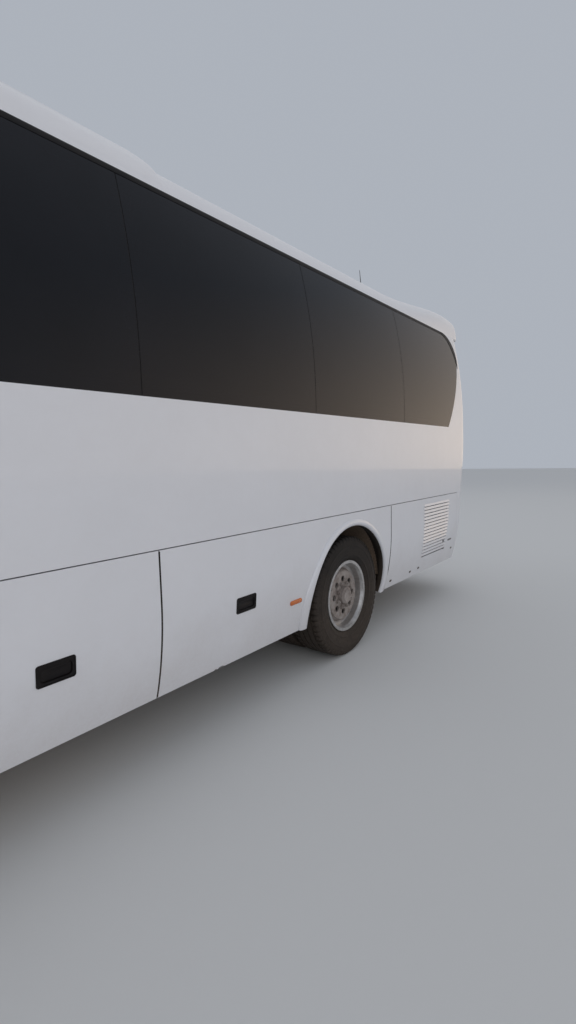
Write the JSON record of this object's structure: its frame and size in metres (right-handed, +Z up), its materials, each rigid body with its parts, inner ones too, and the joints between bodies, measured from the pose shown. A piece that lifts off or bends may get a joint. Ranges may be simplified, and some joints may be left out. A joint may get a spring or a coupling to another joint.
{
  "type": "coach bus",
  "caption": "Ten-metre single-deck coach bus: hollow saloon with side glass, hinged side flaps, rear engine door, passenger door, steered front axle and rear twin wheels.",
  "frame": {"origin": "on the ground, below the middle of the overall box", "axes": "+X towards the front of the coach, +Y to its left side, +Z up"},
  "size_m": [10.2318, 2.74, 3.4899],
  "materials": {
    "body_paint": "gloss white, dusty low down",
    "tinted_glass": "dark tint",
    "tyre": "dusty black",
    "wheel_steel": "silver",
    "lamp_lens": "clear lens",
    "seat_cloth": "woven",
    "black_plastic": "satin",
    "chassis_paint": "dusty black",
    "engine_iron": "dull",
    "inner_panels": "dusty"
  },
  "bodies": {
    "coach": {"arch_liners": "inner_panels", "bay_bulkheads": "inner_panels", "cab_shell": "body_paint", "cross_members": "chassis_paint", "dashboard": "black_plastic", "end_windows": "tinted_glass", "engine_block": "engine_iron", "entry_steps": "inner_panels", "exhaust": "chassis_paint", "front_axle": "chassis_paint", "front_bumper": "body_paint", "front_frame": "chassis_paint", "front_wings": "body_paint", "fuel_tank": "chassis_paint", "lamps": "lamp_lens", "luggage_bays": "inner_panels", "mirrors": "black_plastic", "rear_axle": "chassis_paint", "rear_bumper": "body_paint", "rear_fairing": "body_paint", "rear_shell": "body_paint", "roof_hatches": "body_paint", "roof_panel": "body_paint", "roof_pod": "body_paint", "saloon_floor": "inner_panels", "seat_backs": "seat_cloth", "seats": "seat_cloth", "side_glass_left": "tinted_glass", "side_glass_right": "tinted_glass", "side_wall_left": "body_paint", "side_wall_right": "body_paint", "tow_sockets": "chassis_paint", "underframe": "chassis_paint"},
    "engine_side_door_left": {"engine_side_door_left": "body_paint"},
    "arch_door_left": {"arch_door_left": "body_paint"},
    "luggage_door_rear_left": {"luggage_door_rear_left": "body_paint"},
    "luggage_door_front_left": {"luggage_door_front_left": "body_paint"},
    "knuckle_left": {"knuckle_left": "chassis_paint"},
    "front_wheel_left": {"front_tyre_left": "tyre", "front_rim_left": "wheel_steel"},
    "rear_wheels_left": {"rear_tyres_left": "tyre", "rear_rims_left": "wheel_steel"},
    "engine_side_door_right": {"engine_side_door_right": "body_paint"},
    "arch_door_right": {"arch_door_right": "body_paint"},
    "luggage_door_rear_right": {"luggage_door_rear_right": "body_paint"},
    "luggage_door_front_right": {"luggage_door_front_right": "body_paint"},
    "knuckle_right": {"knuckle_right": "chassis_paint"},
    "front_wheel_right": {"front_tyre_right": "tyre", "front_rim_right": "wheel_steel"},
    "rear_wheels_right": {"rear_tyres_right": "tyre", "rear_rims_right": "wheel_steel"},
    "track_rod": {"track_rod": "chassis_paint"},
    "rear_engine_door": {"rear_engine_door": "body_paint"},
    "passenger_door": {"passenger_door": "body_paint", "door_glass": "tinted_glass"}
  },
  "joints": [
    {"name": "engine_side_door_left_hinge", "type": "hinge", "parent": "coach", "child": "engine_side_door_left", "pos_m": [0, 1.25, 1.2155], "axis": [1, 0, 0], "range_deg": [0, 85]},
    {"name": "arch_door_left_hinge", "type": "hinge", "parent": "coach", "child": "arch_door_left", "pos_m": [0, 1.25, 1.2155], "axis": [1, 0, 0], "range_deg": [0, 85]},
    {"name": "luggage_door_rear_left_hinge", "type": "hinge", "parent": "coach", "child": "luggage_door_rear_left", "pos_m": [0, 1.25, 1.2155], "axis": [1, 0, 0], "range_deg": [0, 85]},
    {"name": "luggage_door_front_left_hinge", "type": "hinge", "parent": "coach", "child": "luggage_door_front_left", "pos_m": [0, 1.25, 1.2155], "axis": [1, 0, 0], "range_deg": [0, 85]},
    {"name": "steer_left", "type": "hinge", "parent": "coach", "child": "knuckle_left", "pos_m": [2.66, 0.88, 0.505], "axis": [0, 0, 1], "range_deg": [-35, 35]},
    {"name": "front_wheel_left_spin", "type": "hinge", "parent": "knuckle_left", "child": "front_wheel_left", "pos_m": [2.66, 1.07, 0.505], "axis": [0, 1, 0], "continuous": true},
    {"name": "rear_wheels_left_spin", "type": "hinge", "parent": "coach", "child": "rear_wheels_left", "pos_m": [-2.14, 1.07, 0.505], "axis": [0, 1, 0], "continuous": true},
    {"name": "engine_side_door_right_hinge", "type": "hinge", "parent": "coach", "child": "engine_side_door_right", "pos_m": [0, -1.25, 1.2155], "axis": [-1, 0, 0], "range_deg": [0, 85]},
    {"name": "arch_door_right_hinge", "type": "hinge", "parent": "coach", "child": "arch_door_right", "pos_m": [0, -1.25, 1.2155], "axis": [-1, 0, 0], "range_deg": [0, 85]},
    {"name": "luggage_door_rear_right_hinge", "type": "hinge", "parent": "coach", "child": "luggage_door_rear_right", "pos_m": [0, -1.25, 1.2155], "axis": [-1, 0, 0], "range_deg": [0, 85]},
    {"name": "luggage_door_front_right_hinge", "type": "hinge", "parent": "coach", "child": "luggage_door_front_right", "pos_m": [0, -1.25, 1.2155], "axis": [-1, 0, 0], "range_deg": [0, 85]},
    {"name": "steer_right", "type": "hinge", "parent": "coach", "child": "knuckle_right", "pos_m": [2.66, -0.88, 0.505], "axis": [0, 0, 1], "range_deg": [-35, 35]},
    {"name": "front_wheel_right_spin", "type": "hinge", "parent": "knuckle_right", "child": "front_wheel_right", "pos_m": [2.66, -1.07, 0.505], "axis": [0, 1, 0], "continuous": true},
    {"name": "rear_wheels_right_spin", "type": "hinge", "parent": "coach", "child": "rear_wheels_right", "pos_m": [-2.14, -1.07, 0.505], "axis": [0, 1, 0], "continuous": true},
    {"name": "track_rod_pivot", "type": "hinge", "parent": "knuckle_left", "child": "track_rod", "pos_m": [2.425, 0.88, 0.35], "axis": [0, 0, 1], "range_deg": [-35, 35]},
    {"name": "rear_engine_door_hinge", "type": "hinge", "parent": "coach", "child": "rear_engine_door", "pos_m": [-5.122, 0, 1.688], "axis": [0, 1, 0], "range_deg": [0, 80]},
    {"name": "passenger_door_hinge", "type": "hinge", "parent": "coach", "child": "passenger_door", "pos_m": [4.1775, -1.252, 1.6], "axis": [0, 0, 1], "range_deg": [0, 90]}
  ],
  "couplings": [
    {"joint": "steer_right", "follows": "steer_left", "ratio": 1},
    {"joint": "track_rod_pivot", "follows": "steer_left", "ratio": -1}
  ]
}
